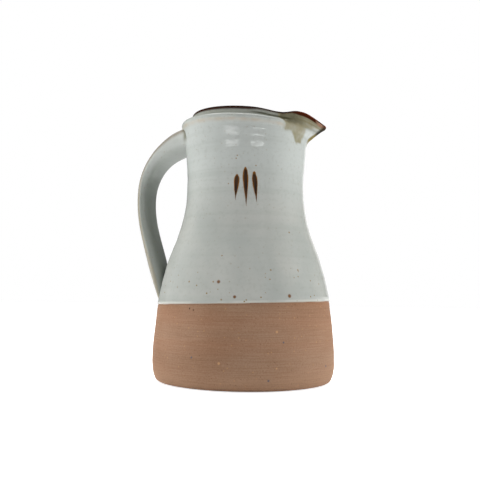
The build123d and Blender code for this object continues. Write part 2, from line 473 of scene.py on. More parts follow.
# %% Shape the strokes
STROKE_LENGTH, STROKE_WIDTH, STROKE_STEP = 27 * MM, 4.6 * MM, 6.8 * MM
STROKE_MIDDLE, STROKE_TURN = 141 * MM, math.radians(9)
STROKES = [
    # place from the middle stroke, share of the full length, lean in degrees
    (-1, 0.68, 3.0),
    (0, 1.0, -2.0),
    (1, 0.78, -5.0),
]
GRID_ACROSS, GRID_ALONG = 14, 60
FULL_LATE, FULL_ROUND = 1.7, 0.62
START_SHARE, LEAST_WIDTH = 0.55, 0.03
WOBBLE, WOBBLE_STEP, WOBBLE_ALONG = 0.06, 7, 6
DRAWING_RADIUS, NECK_RADIUS = 52 * MM, 45 * MM


def brush_stroke(place, share, lean):
    """One stroke, with a note of how near each point is to its edge."""
    bpy.ops.mesh.primitive_grid_add(
        x_subdivisions=GRID_ACROSS, y_subdivisions=GRID_ALONG, size=1, location=(0, 0, 0))
    stroke = bpy.context.object
    edge = stroke.data.attributes.new("edge", "FLOAT", "POINT")
    for number, vertex in enumerate(stroke.data.vertices):
        rise = vertex.co.y + 0.5
        side = vertex.co.x * 2
        fullness = math.sin(math.pi * rise ** FULL_LATE) ** FULL_ROUND if 0 < rise < 1 else 0
        fullness = max(LEAST_WIDTH, fullness * (START_SHARE + (1 - START_SHARE) * rise))
        wobble = WOBBLE * noise.noise(Vector((place * WOBBLE_STEP, rise * WOBBLE_ALONG, side)))
        across = place * STROKE_STEP + (side + wobble) * fullness * STROKE_WIDTH / 2
        height = (rise - 0.5) * share * STROKE_LENGTH
        across += height * math.tan(math.radians(lean))
        edge.data[number].value = max(abs(side), abs(2 * rise - 1) ** 3)
        turn = STROKE_TURN + across / NECK_RADIUS
        outward = Vector((math.sin(turn), -math.cos(turn), 0))
        vertex.co = outward * DRAWING_RADIUS + Vector((0, 0, STROKE_MIDDLE + height))
    return stroke


strokes = [brush_stroke(place, share, lean) for place, share, lean in STROKES]
print("strokes", [len(stroke.data.vertices) for stroke in strokes], "points")

# %% [markdown]
# The strokes lie on a curved wall. Shrinkwrap presses the shapes onto the coat, just above its surface, and
# solidify gives them the thickness of a film.

# %% Press the strokes onto the glaze
FILM, FILM_GAP = 0.12 * MM, 0.02 * MM
pick(*strokes)
bpy.ops.object.join()
mark = bpy.context.object
mark.name = "iron_strokes"
apply_modifier(mark, "SHRINKWRAP", target=outer_coat, offset=FILM_GAP, wrap_mode="ABOVE_SURFACE")
start_editing(mark)
stop_editing()
apply_modifier(mark, "SOLIDIFY", thickness=FILM, offset=1)
pick(mark)
bpy.ops.object.shade_smooth()
print("brush mark of", len(mark.data.polygons), "faces")

# %% [markdown]
# A finish is a tree of nodes that ends in one surface node. Picture files would have to be drawn and
# unwrapped, so each colour is worked out from the position on the piece and stays in place when the jug
# turns. One helper adds any node: a value that is a socket is linked, and any other value is written on the
# socket.

# %% Start a finish
def fill_sockets(node, values):
    """Link or write these values on the sockets of a node, by name or number."""
    for socket, value in values.items():
        if isinstance(value, bpy.types.NodeSocket):
            node.id_data.links.new(value, node.inputs[socket])
        else:
            node.inputs[socket].default_value = value


def add_node(tree, kind, values, **settings):
    """A node with these settings and values."""
    made = tree.nodes.new(kind)
    for name, value in settings.items():
        setattr(made, name, value)
    fill_sockets(made, values)
    return made


def new_finish(name):
    """A new material, its tree and its surface node."""
    material = bpy.data.materials.new(name)
    material.use_nodes = True
    tree = material.node_tree
    return material, tree, tree.nodes["Principled BSDF"]


bare, tree, surface = new_finish("bare_stoneware")
print("started", bare.name)

# %% [markdown]
# Bare stoneware is matt and toasted brown. The wheel drags grit round the wall, so it has fine level lines,
# which are noise squeezed flat. More noise gives level bands, broad patches and grain.

# %% Bare stoneware: the patterns
def place_on(tree, stretch=(1, 1, 1)):
    """The position on the piece, stretched along X, Y and Z."""
    position = tree.nodes.new("ShaderNodeTexCoord").outputs["Object"]
    return add_node(tree, "ShaderNodeMapping", {"Vector": position, "Scale": stretch}).outputs["Vector"]


def part_of_place(tree, axis):
    """The position on the piece along one axis."""
    return add_node(tree, "ShaderNodeSeparateXYZ", {"Vector": place_on(tree)}).outputs[axis]


def cloud(tree, scale, detail, stretch=(1, 1, 1)):
    """Soft noise from 0 to 1."""
    values = {"Vector": place_on(tree, stretch), "Scale": scale, "Detail": detail}
    return add_node(tree, "ShaderNodeTexNoise", values).outputs["Fac"]


lines = cloud(tree, 1.0, 4, (40, 40, 2200))
bands = cloud(tree, 1.0, 2, (4, 4, 75))
patches = cloud(tree, 22, 3)
grain = cloud(tree, 1100, 4)
height = part_of_place(tree, "Z")
print("patterns made of", len(tree.nodes), "nodes")

# %% [markdown]
# Each pattern becomes a mask from 0 to 1, and each mask lets a stain through. These helpers find the tree
# from a socket that they are given. The wall is paler near the foot, and some level lines are darker and
# some paler than the clay.

# %% Bare stoneware: the stains
def between(value, low, high):
    """0 at low, 1 at high and smooth between them. Low may be the larger one."""
    values = {"Value": value, "From Min": low, "From Max": high}
    mask = add_node(value.id_data, "ShaderNodeMapRange", values, interpolation_type="SMOOTHSTEP")
    return mask.outputs["Result"]


def math_of(operation, first, second):
    """Two values added, multiplied or compared."""
    values = {0: first, 1: second}
    return add_node(first.id_data, "ShaderNodeMath", values, operation=operation).outputs[0]


def blend(share, first, second):
    """A colour between two colours."""
    values = {0: share, 6: first, 7: second}
    return add_node(share.id_data, "ShaderNodeMix", values, data_type="RGBA").outputs[2]


def srgb(red, green, blue):
    """A colour as it is read off a screen, from 0 to 255, in the linear light that shaders use."""
    linear = []
    for value in (red, green, blue):
        share = value / 255
        linear.append(share / 12.92 if share <= 0.04045 else ((share + 0.055) / 1.055) ** 2.4)
    return (*linear, 1)


def stain(colour, mask, share, tint):
    """A colour with a tint laid over it where the mask is 1, as strongly as the share says."""
    return blend(math_of("MULTIPLY", mask, share), colour, srgb(*tint))


CLAY_STAINS = [
    # pattern, its values where the mask is 0 and 1, how strongly the stain shows, its colour
    (bands, 0.4, 0.7, 0.35, (164, 118, 90)),
    (height, 20 * MM, 4 * MM, 0.6, (176, 141, 114)),
    (lines, 0.45, 0.7, 0.24, (122, 87, 62)),
    (lines, 0.5, 0.3, 0.18, (184, 151, 122)),
    (grain, 0.5, 0.66, 0.2, (118, 84, 60)),
    (grain, 0.46, 0.32, 0.16, (186, 152, 124)),
]
colour = blend(between(patches, 0.3, 0.7), srgb(148, 113, 88), srgb(161, 129, 105))
for pattern, low, high, share, tint in CLAY_STAINS:
    colour = stain(colour, between(pattern, low, high), share, tint)
print("clay with", len(CLAY_STAINS), "stains")

# %% [markdown]
# Stoneware clay holds sandy grog and a few dark iron spots. Fine ones are scattered: a Voronoi pattern has
# one point in each cell, and a random few cells show a spot. The larger ones have places of their own, like
# those in the photograph, and a ray toward the axis finds the wall there. The far side is a guess.

# %% Bare stoneware: grit and sand
DARK_GRIT = [
    # angle in degrees, height and radius in millimetres, as in all the lists of spots
    (-116, 54.6, 0.9), (-113, 53.6, 0.8), (-158, 42, 1.0), (12, 30, 0.9), (75, 44, 0.8), (140, 20, 0.9),
]
BLUE_GRIT = [(-112, 22, 1.0), (-67, 8, 1.1), (-23, 15, 1.1), (-58, 33, 0.9), (48, 25, 1.0), (110, 36, 1.0)]
SAND = [(-95, 19, 1.2), (-62, 40, 1.2), (-62.5, 16, 0.8), (30, 12, 1.1), (95, 27, 1.1), (160, 48, 1.0)]
OUTSIDE_RADIUS = 0.2
SPECK_CORE, SPOT_CORE = 0.45, 0.4
CELL_STEP = 0.01


def specks(tree, scale, size, rarity):
    """Round spots: one in some of the cells of a random pattern."""
    cells = add_node(tree, "ShaderNodeTexVoronoi", {"Vector": place_on(tree), "Scale": scale})
    spot = between(cells.outputs["Distance"], size, size * SPECK_CORE)
    chosen = add_node(tree, "ShaderNodeSeparateColor", {"Color": cells.outputs["Color"]}).outputs[0]
    return math_of("MULTIPLY", spot, between(chosen, rarity, rarity + CELL_STEP))


def spots(tree, piece, places):
    """Single round spots on the wall of a piece, from a list of places."""
    position = place_on(tree)
    total = 0.0
    for angle, height, radius in places:
        outward = Vector((math.cos(math.radians(angle)), math.sin(math.radians(angle)), 0))
        start = outward * OUTSIDE_RADIUS + Vector((0, 0, height * MM))
        hit, place, normal, face = piece.ray_cast(start, -outward)
        distance = add_node(tree, "ShaderNodeVectorMath", {0: position, 1: place}, operation="DISTANCE")
        spot = between(distance.outputs["Value"], radius * MM, radius * MM * SPOT_CORE)
        total = math_of("MAXIMUM", spot, total)
    return total


colour = stain(colour, specks(tree, 420, 0.3, 0.86), 0.4, (204, 154, 104))
colour = stain(colour, specks(tree, 560, 0.3, 0.9), 0.4, (92, 66, 48))
colour = stain(colour, spots(tree, clay, DARK_GRIT), 0.8, (66, 46, 38))
colour = stain(colour, spots(tree, clay, BLUE_GRIT), 0.75, (86, 92, 106))
colour = stain(colour, spots(tree, clay, SAND), 0.7, (206, 160, 112))
print("single spots", len(DARK_GRIT + BLUE_GRIT + SAND))

# %% [markdown]
# The surface node takes the colour, and its roughness makes the clay matt. A bump node turns the lines and
# the grain into a relief that is too fine to model.

# %% Bare stoneware: the surface
RELIEF_DISTANCE = 0.2 * MM


def set_surface(surface, values, height=None, strength=0.3):
    """Values on the surface node, and a fine relief from a height."""
    fill_sockets(surface, values)
    if height is not None:
        relief = {"Height": height, "Strength": strength, "Distance": RELIEF_DISTANCE}
        bump = add_node(surface.id_data, "ShaderNodeBump", relief)
        fill_sockets(surface, {"Normal": bump.outputs["Normal"]})


matt = {"Base Color": colour, "Roughness": 0.82, "Specular IOR Level": 0.25}
set_surface(surface, matt, math_of("ADD", lines, grain), 0.2)
print(bare.name, "made of", len(tree.nodes), "nodes")

# %% [markdown]
# Glaze breaks to warm tan where it runs thin over an edge, and is darker and more olive where it pools.
# Shade is
# painted in as well: in the groove, on the collar, over the ridge's crest and where the groove runs out
# beside the beak. A node tree can't tell where the ridge and the groove are, but the notes on the points
# can. So these places are painted as values on the points of the coat, and the finish reads them.

# %% Paint thin and pooled glaze, and painted shade
PATCH_SIZE = 5 * MM
# turns are in degrees from the middle of the beak, places and widths in points of the section
WARM_TURNS, WARM_PLACE, WARM_WIDTH = (41, 53), ridge_foot + 0.6, 0.6
GROOVE_DARK_PLACE, GROOVE_DARK_WIDTH = groove - 0.2, 0.7
CREST_SHADE, CREST_PLACE, CREST_WIDTH = 0.8, groove - 2.7, 1.15
COLLAR_POOL_AND_SHADE = 0.75
CREASE_PLACE, CREASE_CLIMB, CREASE_WIDTH = groove - 0.6, 2.1, 0.5
CREASE_TURNS, CREASE_CLIMB_TURNS, CREASE_END_TURNS = (34, 41), (38, 50), (66, 84)


def paint(piece, note, **paints):
    """Write a value on each point for each name, worked out from one note and the point's place."""
    noted = note_values(piece, note)
    for name, amount in paints.items():
        layer = piece.data.attributes.new(name, "FLOAT", "POINT")
        for number, vertex in enumerate(piece.data.vertices):
            layer.data[number].value = amount(noted[number], vertex.co)
        values = note_values(piece, name)
        print(piece.name, "painted", name, "with a mean of", round(sum(values) / len(values), 3))


def near(value, middle, width):
    """1 at the middle and 0 a few widths away."""
    return math.exp(-((value - middle) / width) ** 2)


def turn_from_beak(place):
    """The angle of a point round the jug from the middle of the beak, in degrees."""
    return math.degrees(math.atan2(place.y, place.x))


def warm_at(along, place):
    """Thin glaze over the foot of the ridge, in patches."""
    off_beak = ramp(abs(turn_from_beak(place)), *WARM_TURNS)
    patch = 0.5 + 0.5 * ramp(noise.noise(place / PATCH_SIZE), -0.4, 0.4)
    return off_beak * patch * near(along, WARM_PLACE, WARM_WIDTH)


def pool_and_shade_at(along, place):
    """Thick glaze with painted shade in the groove and on the collar, and painted shade over the ridge's
    crest.
    """
    in_groove = near(along, GROOVE_DARK_PLACE, GROOVE_DARK_WIDTH)
    on_crest = CREST_SHADE * near(along, CREST_PLACE, CREST_WIDTH)
    on_collar = COLLAR_POOL_AND_SHADE * ramp(along, groove, groove + 1)
    return max(in_groove, on_crest, on_collar)


def crease_pool_and_shade_at(along, place):
    """The darkest glaze, pooled and with painted shade, where the groove runs out beside the beak."""
    angle = abs(turn_from_beak(place))
    line = CREASE_PLACE + CREASE_CLIMB * ramp(angle, *CREASE_CLIMB_TURNS)
    beside_beak = ramp(angle, *CREASE_TURNS) * (1 - ramp(angle, *CREASE_END_TURNS))
    return beside_beak * near(along, line, CREASE_WIDTH)


paint(outer_coat, "along", warm=warm_at, pool=pool_and_shade_at, crease=crease_pool_and_shade_at)

# %% [markdown]
# In the kiln some iron ran off the lip onto the flanks of the beak. It is an olive wash with a wavering
# lower edge, one drip a side that narrows and leans as it falls, and a thicker, darker part along the top.
# Noise moves the places a little, so that no edge is a ruled line.

# %% Paint the iron that ran
DRIPS = [
    # angle where the drip leaves the beak and half its width in degrees, its lowest height in millimetres
    (-30.3, 9.3, 175.8),
    (33, 7, 181),
]
DRIP_TOP, DRIP_NARROWING, DRIP_LEAN = 184, 0.5, 0.027
DRIP_SOFTNESS, DRIP_FOOT, DRIP_FADE = 3, 1.6, (187, 191)
WASH_LOW, WASH_LOBE, WASH_RISE = 186.6, 3.4, 3.2
WASH_EDGE, THICK_EDGE, THICK_LOSS = (-1.5, 2), (1.2, 5.2), 0.7
LOBE_TURNS, FLANK_TURNS = (26, 40), (45, 50)
RISE_REACH, LOSS_REACH = (43 * MM, 55 * MM), (37 * MM, 51 * MM)
WAVER_SIZE, WAVER_TURN = 5 * MM, 2.5


def drip_at(angle, height):
    """How far a drip covers this angle in degrees and height in millimetres."""
    most = 0
    fall = DRIP_TOP - height
    for middle, half_width, lowest in DRIPS:
        off_middle = abs(angle - middle * (1 - DRIP_LEAN * fall))
        inside_edge = ramp(half_width - DRIP_NARROWING * fall - off_middle, -DRIP_SOFTNESS, DRIP_SOFTNESS)
        inside_edge *= ramp(height, lowest, lowest + DRIP_FOOT) * (1 - ramp(height, *DRIP_FADE))
        most = max(most, inside_edge)
    return most


def iron_at(along, place):
    """Up to 0.5 where the iron is thin and up to 1 where it is thick."""
    waver = noise.noise(place / WAVER_SIZE)
    angle = turn_from_beak(place) + WAVER_TURN * waver
    height = place.z / MM + waver
    low = WASH_LOW - WASH_LOBE * ramp(abs(angle), *LOBE_TURNS) + WASH_RISE * ramp(place.x, *RISE_REACH)
    on_flank = 1 - ramp(abs(angle), *FLANK_TURNS)
    thin = ramp(height - low, *WASH_EDGE) * on_flank
    off_tip = 1 - THICK_LOSS * ramp(place.x, *LOSS_REACH)
    thick = ramp(height - WASH_LOW, *THICK_EDGE) * off_tip * on_flank
    return 0.5 * max(drip_at(angle, height), thin) + 0.5 * thick


paint(outer_coat, "along", iron=iron_at)

# %% [markdown]
# The iron wiped on the lip also covers a little of the glaze below it, and more of it on the beak. At the
# very tip it is thin and shows red, paled to pink as a painted highlight, and under the tip it gathered
# along the beak's keel.

# %% Paint the iron below the lip
TIP_REACH, TIP_LOSS = (54 * MM, 57 * MM), 0.85
# how far iron was wiped below the lip and where the red tip and its painted highlight show, in points of
# the section
WIPED, WIPED_ON_BEAK, WIPED_ROUND, WIPED_EDGE = 0.6, 0.9, 0.35, 0.6
RED_TIP_EDGE = (-2.6, -0.9)
BEAK_TURNS, ROUND_TURNS = (24, 36), (66, 80)
KEEL_MIDDLE, KEEL_TURNS = 2.5, (5.5, 9)
KEEL_REACH, KEEL_HEIGHTS = (46 * MM, 49 * MM), (176 * MM, 182 * MM)


def wiped_at(along, place):
    """Iron wiped below the lip: furthest on the beak, least beside it and hardly at the very tip."""
    angle = abs(turn_from_beak(place))
    reach = WIPED + WIPED_ON_BEAK * (1 - ramp(angle, *BEAK_TURNS)) + WIPED_ROUND * ramp(angle, *ROUND_TURNS)
    band = ramp(along - lip_start + reach, 0, WIPED_EDGE)
    return band * (1 - TIP_LOSS * ramp(place.x, *TIP_REACH))


def red_tip_and_glint_at(along, place):
    """Thin iron that shows red at the beak's tip, paled to pink as a painted highlight."""
    return ramp(place.x, *TIP_REACH) * ramp(along - lip_start, *RED_TIP_EDGE)


def amber_at(along, place):
    """Iron that gathered under the tip and along the beak's keel."""
    on_keel = 1 - ramp(abs(turn_from_beak(place) - KEEL_MIDDLE), *KEEL_TURNS)
    return on_keel * ramp(place.x, *KEEL_REACH) * ramp(place.z, *KEEL_HEIGHTS)


paint(outer_coat, "along", wiped=wiped_at, rust=red_tip_and_glint_at, amber=amber_at)

# %% [markdown]
# On the handle the coat is thick and dark on the lower flanks and inside the bow, with painted shade there
# too, and paler near the top as a painted highlight. It is broken to tan along the corners. Thick olive
# glaze sits in the crease at the root. Each ring noted which way its points face, from -1 toward the jug to
# 1 away from it.

# %% Paint the handle's coat
LOW_HEIGHTS, TOP_HIGHLIGHT_HEIGHTS, THIN_HEIGHTS = (135 * MM, 178 * MM), (150 * MM, 172 * MM), (125 * MM, 165 * MM)
TAIL_HEIGHTS, EDGE_HEIGHTS, ROOT_HEIGHTS = (70 * MM, 105 * MM), (135 * MM, 165 * MM), (177 * MM, 184 * MM)
BOW_FACING, FLANK_FACING, BACK_FACING = (0.15, 1.0), (0.18, 0.42), (0.65, 0.95)
THIN_FACING, THIN_WIDTH = 0.62, 0.2
EDGE_FACING, EDGE_SHIFT, EDGE_WIDTH = 0.22, 0.25, 0.24
ROOT_RADIUS, ROOT_WIDTH = 48.4 * MM, 1.1 * MM


def thick_and_shaded_at(facing, place):
    """Thick, dark glaze with painted shade on the lower flanks and in the bow."""
    low = 1 - ramp(place.z, *LOW_HEIGHTS)
    bow = ramp(-facing, *BOW_FACING)
    flank = 1 - ramp(facing, *FLANK_FACING)
    return max(0.8 * low * flank, bow * (0.3 + 0.5 * low))


def top_highlight_at(facing, place):
    """The paler coat near the top: a painted highlight."""
    return 0.42 * ramp(place.z, *TOP_HIGHLIGHT_HEIGHTS)


def thin_at(facing, place):
    """A narrow tan band along the outer corners, stronger toward the top."""
    return near(facing, THIN_FACING, THIN_WIDTH) * (0.35 + 0.55 * ramp(place.z, *THIN_HEIGHTS))


def edge_at(facing, place):
    """A pale, warm edge on the outer corners lower down, wider toward the tail."""
    start = EDGE_FACING - EDGE_SHIFT * (1 - ramp(place.z, *TAIL_HEIGHTS))
    corner = ramp(facing, start, start + EDGE_WIDTH)
    off_back = 1 - 0.75 * ramp(facing, *BACK_FACING)
    return corner * off_back * (1 - ramp(place.z, *EDGE_HEIGHTS))


def root_at(facing, place):
    """Thick olive glaze in the crease where the root meets the wall."""
    in_crease = near(math.hypot(place.x, place.y), ROOT_RADIUS, ROOT_WIDTH)
    return in_crease * ramp(place.z, *ROOT_HEIGHTS)


paint(strap_coat, "facing", deep=thick_and_shaded_at, pale=top_highlight_at, thin=thin_at, edge_break=edge_at, root=root_at)

# %% [markdown]
# The pale glaze is a grey-green gloss. Its own colour drifts between two greys in broad clouds and has
# faint level rings and a fine mottle, and the colour is also set paler up the neck. The painted places are
# then laid over it, one after another, painted shade and a painted highlight among them. A coat without one
# of these paints reads it as 0, so one finish serves all three coats.

# %% Pale glaze: the colour
def painted(tree, name):
    """A value that was painted on the points of the piece."""
    return add_node(tree, "ShaderNodeAttribute", {}, attribute_name=name).outputs["Fac"]


PAINTED_TINTS = [
    # painted place, how strongly it shows, its colour
    # painted highlight on the handle's top
    ("pale", 1.0, (212, 216, 210)),
    # thick glaze and painted shade on the handle's lower flanks and bow
    ("deep", 0.95, (133, 139, 132)),
    ("thin", 0.9, (116, 102, 82)),
    ("edge_break", 0.85, (156, 149, 131)),
    ("root", 0.8, (98, 94, 66)),
    ("warm", 0.45, (190, 168, 136)),
    # pooled glaze and painted shade in the groove and on the collar, painted shade over the crest
    ("pool", 0.8, (112, 112, 94)),
]
glaze, tree, surface = new_finish("pale_glaze")
level_rings = cloud(tree, 1.0, 3, (8, 8, 260))
up_the_neck = between(part_of_place(tree, "Z"), 110 * MM, 170 * MM)
colour = blend(between(cloud(tree, 26, 3), 0.32, 0.68), srgb(172, 176, 171), srgb(184, 186, 180))
colour = blend(up_the_neck, colour, srgb(191, 196, 192))
colour = stain(colour, between(level_rings, 0.45, 0.75), 0.25, (160, 165, 158))
colour = stain(colour, between(cloud(tree, 420, 4), 0.5, 0.75), 0.22, (150, 152, 142))
for name, share, tint in PAINTED_TINTS:
    colour = stain(colour, painted(tree, name), share, tint)
print(glaze.name, "has", len(PAINTED_TINTS), "painted tints")

# %% [markdown]
# Iron in a pale glaze turns olive where it is thin, dark where it is thick, and rusty where it is hardly
# covered;
# at the very tip it is paled to pink as a painted highlight. The painted iron has two steps, so it is read
# twice, and a patchy noise breaks it up. Toward the tip the wiped iron is redder, and what gathered under
# the tip goes from amber to nearly black.

# %% Pale glaze: the iron
patchy = {"Value": cloud(tree, 190, 3), "From Min": 0.3, "From Max": 0.7, "To Min": 0.78, "To Max": 1.08}
patchy = add_node(tree, "ShaderNodeMapRange", patchy).outputs["Result"]
thin_iron = math_of("MULTIPLY", between(painted(tree, "iron"), 0.0, 0.5), patchy)
thick_iron = math_of("MULTIPLY", between(painted(tree, "iron"), 0.5, 1.0), patchy)
colour = stain(colour, thin_iron, 0.75, (132, 122, 82))
colour = stain(colour, thick_iron, 0.9, (82, 78, 54))
# pooled glaze and painted shade where the groove runs out beside the beak
colour = stain(colour, painted(tree, "crease"), 0.85, (58, 58, 38))
toward_tip = part_of_place(tree, "X")
wiped_iron = blend(between(toward_tip, 30 * MM, 44 * MM), srgb(48, 24, 15), srgb(64, 27, 10))
colour = blend(painted(tree, "wiped"), colour, wiped_iron)
# thin red iron at the tip, paled to pink as a painted highlight
colour = stain(colour, painted(tree, "rust"), 0.85, (156, 118, 98))
under_tip = blend(between(toward_tip, 52 * MM, 56 * MM), srgb(126, 112, 58), srgb(40, 35, 25))
colour = blend(math_of("MULTIPLY", painted(tree, "amber"), 0.92), colour, under_tip)
print(glaze.name, "now has", len(tree.nodes), "nodes")

# %% [markdown]
# Glaze draws back from its edge as it melts. That leaves a broken bead just above the dip line, whose
# paleness is partly a painted highlight, and a tan line where it is thinnest. Freckles of iron show more
# near the line. The level comes from a dot product with the slope of the dip, so the bands follow the
# tilted line.

# %% Pale glaze: the dip line
FRECKLES_EVERYWHERE = 0.25
product = {0: place_on(tree), 1: DIP_SLOPE}
level = add_node(tree, "ShaderNodeVectorMath", product, operation="DOT_PRODUCT").outputs["Value"]
dip_level = DIP_LINE * math.cos(DIP_TILT)
# a pale bead above the dip line, partly a painted highlight
bead_and_highlight = between(level, dip_level + 2.4 * MM, dip_level + 1.3 * MM)
bead_and_highlight = math_of("MULTIPLY", bead_and_highlight, between(cloud(tree, 34, 2), 0.4, 0.52))
colour = stain(colour, bead_and_highlight, 0.6, (208, 208, 199))
thin_line = between(level, dip_level + 0.7 * MM, dip_level + 0.15 * MM)
colour = stain(colour, thin_line, 0.6, (164, 124, 88))
low_band = between(level, dip_level + 32 * MM, dip_level + 2 * MM)
freckled = math_of("ADD", low_band, FRECKLES_EVERYWHERE)
freckles = math_of("MULTIPLY", specks(tree, 380, 0.3, 0.78), freckled)
colour = stain(colour, freckles, 0.8, (140, 114, 60))
print("dip line at", round(dip_level, 4), "along the slope of the dip")

# %% [markdown]
# A few larger spots of iron come through, at places like those in the photograph. The gloss is a clear coat
# over a dull base, and it fades where the photograph shows dark or iron-rich glaze as matt. A faint ripple
# softens its reflections.

# %% Pale glaze: spots and gloss
IRON_SPOTS = [
    (-97.5, 73, 1.7), (-87, 63, 1.5), (-52.5, 64, 1.8), (20, 70, 1.5), (78, 66, 1.6), (131, 82, 1.4),
]
FAINT_SPOTS = [
    (-89, 163, 0.8), (-90, 161, 0.8), (-72, 156, 0.8), (-97, 143, 0.7), (-64, 81.5, 0.9), (-43, 82, 1),
    (-97, 91, 0.8), (-119, 73, 1), (-101, 73, 0.9), (-43, 109, 1), (-95, 61, 0.9), (-80, 61, 0.8),
    (10, 120, 0.9), (60, 96, 1), (105, 140, 0.9), (150, 101, 1),
]
GLOSS, DULL_GLOSS = 0.5, 0.02


def set_gloss(surface, colour, weight, roughness, ripple, strength):
    """A base with no shine of its own under a clear coat, with a faint ripple."""
    clear = {"Specular IOR Level": 0, "Coat Weight": weight, "Coat Roughness": roughness}
    set_surface(surface, {"Base Color": colour, **clear}, ripple, strength)


colour = stain(colour, spots(tree, outer_coat, FAINT_SPOTS), 0.7, (140, 110, 58))
colour = stain(colour, spots(tree, outer_coat, IRON_SPOTS), 0.95, (112, 66, 12))
dull = painted(tree, "deep")
for name in ("wiped", "rust", "amber", "crease"):
    dull = math_of("MAXIMUM", dull, painted(tree, name))
shiny = add_node(tree, "ShaderNodeMapRange", {"Value": dull, "To Min": GLOSS, "To Max": DULL_GLOSS})
ripple = cloud(tree, 240, 2)
set_gloss(surface, colour, weight=shiny.outputs[0], roughness=0.05, ripple=ripple, strength=0.1)
print(glaze.name, "made of", len(tree.nodes), "nodes")

# %% [markdown]
# Iron on the lip melts to a dark brown, redder at the tip of the spout where it was wiped thin. Soft noise
# streaks the brown, and a second noise dabs the red on toward the tip.

# %% Iron on the lip
RED_REACH = (34 * MM, 50 * MM)
paint(lip_coat, "along", tip=lambda along, place: ramp(place.x, *RED_REACH))
iron, tree, surface = new_finish("iron_lip")
streaks = cloud(tree, 160, 3)
dabs = between(cloud(tree, 300, 3), 0.3, 0.62)
colour = blend(between(streaks, 0.35, 0.7), srgb(32, 15, 9), srgb(50, 28, 18))
colour = stain(colour, painted(tree, "tip"), dabs, (112, 46, 24))
set_gloss(surface, colour, weight=0.02, roughness=0.1, ripple=streaks, strength=0.1)
print(iron.name, "made of", len(tree.nodes), "nodes")

# %% [markdown]
# The brush strokes are the same iron, with upright streaks from the hairs and an amber edge where it soaked
# into the glaze. The slip that joins the handle is dried clay, hidden by the coat, so its finish is plain.

# %% Brushed iron and slip
brushed, tree, surface = new_finish("iron_brushed")
streaks = cloud(tree, 1.0, 3, (700, 700, 60))
colour = blend(between(streaks, 0.3, 0.7), srgb(40, 26, 20), srgb(72, 48, 28))
colour = blend(between(painted(tree, "edge"), 0.5, 0.95), colour, srgb(148, 98, 38))
set_gloss(surface, colour, weight=0.1, roughness=0.15, ripple=streaks, strength=0.15)
slip, tree, surface = new_finish("slip")
grain = cloud(tree, 900, 3)
colour = blend(grain, srgb(146, 116, 94), srgb(172, 142, 116))
set_surface(surface, {"Base Color": colour, "Roughness": 0.85}, grain, 0.3)
print("made", brushed.name, "and", slip.name)

# %% [markdown]
# Each piece now gets its finish, rides on the jug's one body, and stands for a node of the construction
# model, which is then hidden. The two slip joints are right as they were loaded, so they only get a finish.

# %% Put the finishes on
def finish_piece(piece, material, slot_name, *nodes):
    """One material on a piece that rides on the jug and stands for these nodes."""
    piece.data.materials.clear()
    piece.data.materials.append(material)
    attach(piece, "root")
    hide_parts(*nodes)


finish_piece(clay, bare, "bare_stoneware", "thrown_body")
finish_piece(strap, bare, "bare_stoneware", "pulled_handle")
finish_piece(outer_coat, glaze, "pale_glaze", "outer_glaze")
finish_piece(strap_coat, glaze, "pale_glaze", "handle_glaze")
finish_piece(liner_coat, glaze, "pale_glaze", "liner_glaze")
finish_piece(lip_coat, iron, "iron_glaze", "rim_band")
finish_piece(mark, brushed, "iron_glaze", "brush_mark")
slip_joints = []
for piece in bpy.data.objects:
    if piece.type == "MESH" and piece.name.split(".")[0] in ("upper_slip_joint", "lower_slip_joint"):
        piece.data.materials.clear()
        piece.data.materials.append(slip)
        slip_joints.append(piece.name)
print("finished the new pieces and", slip_joints)

# %% [markdown]
# The photograph has a white ground with a faint shadow. A lit plane would look grey, and a glowing one
# would light the jug from below. So the floor glows only for the rays that show the floor itself, and for
# all others it is plain white paper.

# %% Floor
FLOOR_SIZE, FLOOR_DROP, FLOOR_GLOW = 6, 0.2 * MM, 0.75
WHITE = (1, 1, 1, 1)
PAPER = (0.9, 0.9, 0.9, 1)


def seen_as_backdrop(tree):
    """1 for rays that show the backdrop itself: straight to the camera, in a gloss or through glass."""
    path = tree.nodes.new("ShaderNodeLightPath")
    total = path.outputs["Is Camera Ray"]
    for ray in ("Is Glossy Ray", "Is Transmission Ray"):
        total = math_of("MAXIMUM", total, path.outputs[ray])
    return total


def set_glow(surface, base, strength):
    """A matt colour that glows white with this strength."""
    matt = {"Base Color": base, "Roughness": 0.9}
    set_surface(surface, {**matt, "Emission Color": WHITE, "Emission Strength": strength})


bpy.ops.mesh.primitive_plane_add(size=FLOOR_SIZE, location=(0, 0, -FLOOR_DROP))
floor = bpy.context.object
floor.name = "floor"
white, tree, surface = new_finish("white_floor")
set_glow(surface, PAPER, math_of("MULTIPLY", seen_as_backdrop(tree), FLOOR_GLOW))
floor.data.materials.append(white)
print("floor of", FLOOR_SIZE, "m")

# %% [markdown]
# The photograph looks as if it was taken in a white tent. The world stands for its cloth: white where it is
# seen, and much dimmer as a light, because most of the light comes through the sides.

# %% The tent
TENT_STRENGTH = 0.22
world = bpy.data.worlds.new("tent")
bpy.context.scene.world = world
world.use_nodes = True
tree = world.node_tree
strength = add_node(tree, "ShaderNodeMapRange", {"Value": seen_as_backdrop(tree), "To Min": TENT_STRENGTH})
fill_sockets(tree.nodes["Background"], {"Color": WHITE, "Strength": strength.outputs["Result"]})
print("the tent lights the jug at", TENT_STRENGTH)

# %% [markdown]
# Large soft lamps light the jug from both sides and from above, which leaves the middle of the belly darker
# than its edges, as in the photograph. The side lamps aren't seen in the glaze, where they would show as
# hard stripes.

